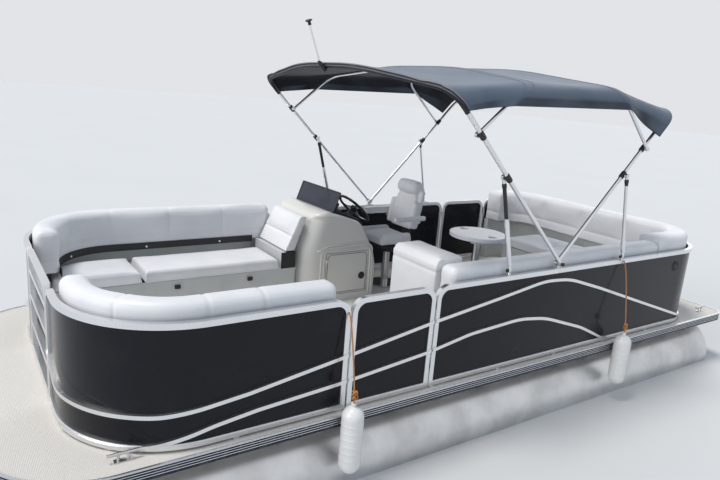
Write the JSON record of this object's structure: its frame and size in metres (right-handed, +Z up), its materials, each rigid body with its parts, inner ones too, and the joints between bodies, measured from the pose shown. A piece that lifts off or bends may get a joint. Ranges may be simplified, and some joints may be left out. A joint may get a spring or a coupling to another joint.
{
  "type": "pontoon boat",
  "caption": "Open pontoon boat on two aluminium tubes with a fenced deck, wrap-round lounges, helm console, folding bimini and a tilting outboard.",
  "frame": {"origin": "on the floor under the keels, midway along the whole length and on the centre line", "axes": "+X forward, +Y to port, +Z up"},
  "size_m": [7.3988, 2.6248, 3.0108],
  "materials": {
    "black_plastic": "moulded",
    "canvas": "woven acrylic",
    "console_shell": "gel coat",
    "dash_black": "textured",
    "deck_vinyl": "woven vinyl over plywood",
    "fender_vinyl": "inflated vinyl",
    "frame_aluminium": "mill",
    "motor_paint": "gloss",
    "moulded_base": "moulded polyethylene",
    "panel_charcoal": "gloss",
    "rail_aluminium": "satin anodised",
    "rope": "braided",
    "smoked_glass": "smoked acrylic",
    "stainless": "brushed",
    "table_top": "moulded",
    "trim_aluminium": "satin anodised",
    "tube_aluminium": "brushed",
    "upholstery": "marine vinyl"
  },
  "bodies": {
    "hull": {"aft_backrest": "upholstery", "aft_fixed_cushions": "upholstery", "aft_lounge_arm": "upholstery", "aft_lounge_base": "moulded_base", "bimini_mounts": "stainless", "bow_backrests": "upholstery", "bow_corner_cushions": "upholstery", "bow_lounge_bases": "moulded_base", "cleats": "stainless", "console_shell": "console_shell", "cross_members": "frame_aluminium", "dash_panel": "dash_black", "deck": "deck_vinyl", "deck_trim": "trim_aluminium", "end_backrest_mount": "black_plastic", "fence_panels": "panel_charcoal", "fender_lines": "rope", "fenders": "fender_vinyl", "helm_chair_pedestal": "stainless", "ladder_mounts": "stainless", "motor_pod": "tube_aluminium", "outboard_clamp": "motor_paint", "pontoon_port": "tube_aluminium", "pontoon_starboard": "tube_aluminium", "port_fence_frames": "rail_aluminium", "starboard_end_backrest": "upholstery", "starboard_fence_frames": "rail_aluminium", "steering_column": "black_plastic", "stern_backrest": "upholstery", "table_pedestal": "stainless", "windscreen": "smoked_glass"},
    "bow_gate": {"bow_gate": "rail_aluminium"},
    "port_gate": {"port_gate_frame": "rail_aluminium", "port_gate_panel": "panel_charcoal"},
    "aft_gate": {"aft_gate_frame": "rail_aluminium", "aft_gate_panel": "panel_charcoal"},
    "console_door": {"console_door": "console_shell"},
    "steering_wheel": {"steering_wheel": "black_plastic"},
    "helm_chair": {"helm_chair_swivel": "black_plastic", "helm_chair_seat": "upholstery", "helm_chair_back": "upholstery", "helm_chair_armrests": "upholstery"},
    "table": {"table_top": "table_top"},
    "port_bow_lid": {"port_bow_seat_lid": "upholstery"},
    "starboard_bow_lid": {"starboard_bow_seat_lid": "upholstery"},
    "aft_port_lid": {"aft_port_seat_lid": "upholstery"},
    "aft_stern_lid": {"aft_stern_seat_lid": "upholstery"},
    "bimini_rear": {"bimini_rear_bow": "rail_aluminium"},
    "bimini_front": {"bimini_front_bow": "rail_aluminium", "bimini_canopy": "canvas", "light_pole": "rail_aluminium"},
    "bimini_front_secondary": {"bimini_front_secondary_bow": "rail_aluminium"},
    "bimini_rear_secondary": {"bimini_rear_secondary_bow": "rail_aluminium"},
    "bimini_front_strut_pair": {"bimini_front_struts": "rail_aluminium"},
    "bimini_rear_strut_pair": {"bimini_rear_struts": "rail_aluminium"},
    "outboard_bracket": {"outboard_swivel_bracket": "motor_paint"},
    "outboard_motor": {"outboard_leg": "motor_paint", "outboard_cowl": "motor_paint"},
    "propeller": {"propeller": "stainless"},
    "ladder": {"boarding_ladder": "stainless"}
  },
  "joints": [
    {"name": "bow_gate_swing", "type": "hinge", "parent": "hull", "child": "bow_gate", "pos_m": [3.27342, 0.378, 1.094], "axis": [0, 0, -1], "range_deg": [0, 90]},
    {"name": "port_gate_swing", "type": "hinge", "parent": "hull", "child": "port_gate", "pos_m": [1.25442, 1.156, 1.094], "axis": [0, 0, -1], "range_deg": [0, 90]},
    {"name": "aft_gate_swing", "type": "hinge", "parent": "hull", "child": "aft_gate", "pos_m": [-0.84958, -1.156, 1.094], "axis": [0, 0, -1], "range_deg": [0, 90]},
    {"name": "console_door_swing", "type": "hinge", "parent": "hull", "child": "console_door", "pos_m": [1.06992, -0.422, 0.999], "axis": [0, 0, -1], "range_deg": [0, 110]},
    {"name": "steering_wheel_turn", "type": "hinge", "parent": "hull", "child": "steering_wheel", "pos_m": [0.58742, -0.785, 1.496], "axis": [0.6947, 0, -0.7193], "range_deg": [-540, 540]},
    {"name": "helm_chair_swivel", "type": "hinge", "parent": "hull", "child": "helm_chair", "pos_m": [0.23242, -0.7, 1.184], "axis": [0, 0, 1], "range_deg": [-40, 15]},
    {"name": "table_turn", "type": "hinge", "parent": "hull", "child": "table", "pos_m": [-0.21758, 0.04, 1.404], "axis": [0, 0, 1], "continuous": true},
    {"name": "port_bow_lid_lift", "type": "hinge", "parent": "hull", "child": "port_bow_lid", "pos_m": [2.33242, 0.903, 1.097], "axis": [-1, 0, 0], "range_deg": [0, 70]},
    {"name": "starboard_bow_lid_lift", "type": "hinge", "parent": "hull", "child": "starboard_bow_lid", "pos_m": [2.13242, -0.903, 1.097], "axis": [1, 0, 0], "range_deg": [0, 70]},
    {"name": "aft_port_lid_lift", "type": "hinge", "parent": "hull", "child": "aft_port_lid", "pos_m": [0.13242, 0.903, 1.097], "axis": [-1, 0, 0], "range_deg": [0, 70]},
    {"name": "aft_stern_lid_lift", "type": "hinge", "parent": "hull", "child": "aft_stern_lid", "pos_m": [-1.70458, 0, 1.097], "axis": [0, -1, 0], "range_deg": [0, 70]},
    {"name": "bimini_lean", "type": "hinge", "parent": "hull", "child": "bimini_rear", "pos_m": [0.13242, 0, 1.476], "axis": [0, -1, 0], "range_deg": [0, 21.7]},
    {"name": "bimini_fold", "type": "hinge", "parent": "bimini_rear", "child": "bimini_front", "pos_m": [0.13242, 0, 1.476], "axis": [0, -1, 0], "range_deg": [0, 80.8], "deforming": ["bimini_canopy"]},
    {"name": "bimini_front_secondary_fold", "type": "hinge", "parent": "bimini_front", "child": "bimini_front_secondary", "pos_m": [1.0609, 0, 2.35709], "axis": [0, -1, 0], "range_deg": [-84.5, 0]},
    {"name": "bimini_rear_secondary_fold", "type": "hinge", "parent": "bimini_rear", "child": "bimini_rear_secondary", "pos_m": [-0.67076, 0, 2.29905], "axis": [0, -1, 0], "range_deg": [0, 80.31]},
    {"name": "bimini_front_strut_fold", "type": "hinge", "parent": "bimini_front", "child": "bimini_front_strut_pair", "pos_m": [0.78888, 0, 2.09896], "axis": [0, -1, 0], "range_deg": [-30.97, 0]},
    {"name": "bimini_rear_strut_fold", "type": "hinge", "parent": "bimini_rear", "child": "bimini_rear_strut_pair", "pos_m": [-0.4752, 0, 2.09865], "axis": [0, -1, 0], "range_deg": [-111.92, 0]},
    {"name": "outboard_tilt", "type": "hinge", "parent": "hull", "child": "outboard_bracket", "pos_m": [-2.70758, 0, 0.763], "axis": [0, -1, 0], "range_deg": [0, 62]},
    {"name": "outboard_steer", "type": "hinge", "parent": "outboard_bracket", "child": "outboard_motor", "pos_m": [-2.75453, 0, 0.8513], "axis": [0.8829, 0, 0.4695], "range_deg": [-30.01, 30.01]},
    {"name": "propeller_spin", "type": "hinge", "parent": "outboard_motor", "child": "propeller", "pos_m": [-3.58687, 0, 0.86176], "axis": [-0.4695, 0, 0.8829], "continuous": true},
    {"name": "ladder_fold", "type": "hinge", "parent": "hull", "child": "ladder", "pos_m": [-2.45358, -0.8, 0.744], "axis": [0, -1, 0], "range_deg": [0, 180]}
  ],
  "couplings": [
    {"joint": "bimini_fold", "follows": "bimini_lean", "ratio": 3.7235},
    {"joint": "bimini_front_secondary_fold", "follows": "bimini_lean", "ratio": -3.894},
    {"joint": "bimini_rear_secondary_fold", "follows": "bimini_lean", "ratio": 3.7005},
    {"joint": "bimini_front_strut_fold", "follows": "bimini_lean", "ratio": -1.4271},
    {"joint": "bimini_rear_strut_fold", "follows": "bimini_lean", "ratio": -5.1575},
    {"joint": "outboard_steer", "follows": "steering_wheel_turn", "ratio": 0.055556}
  ]
}
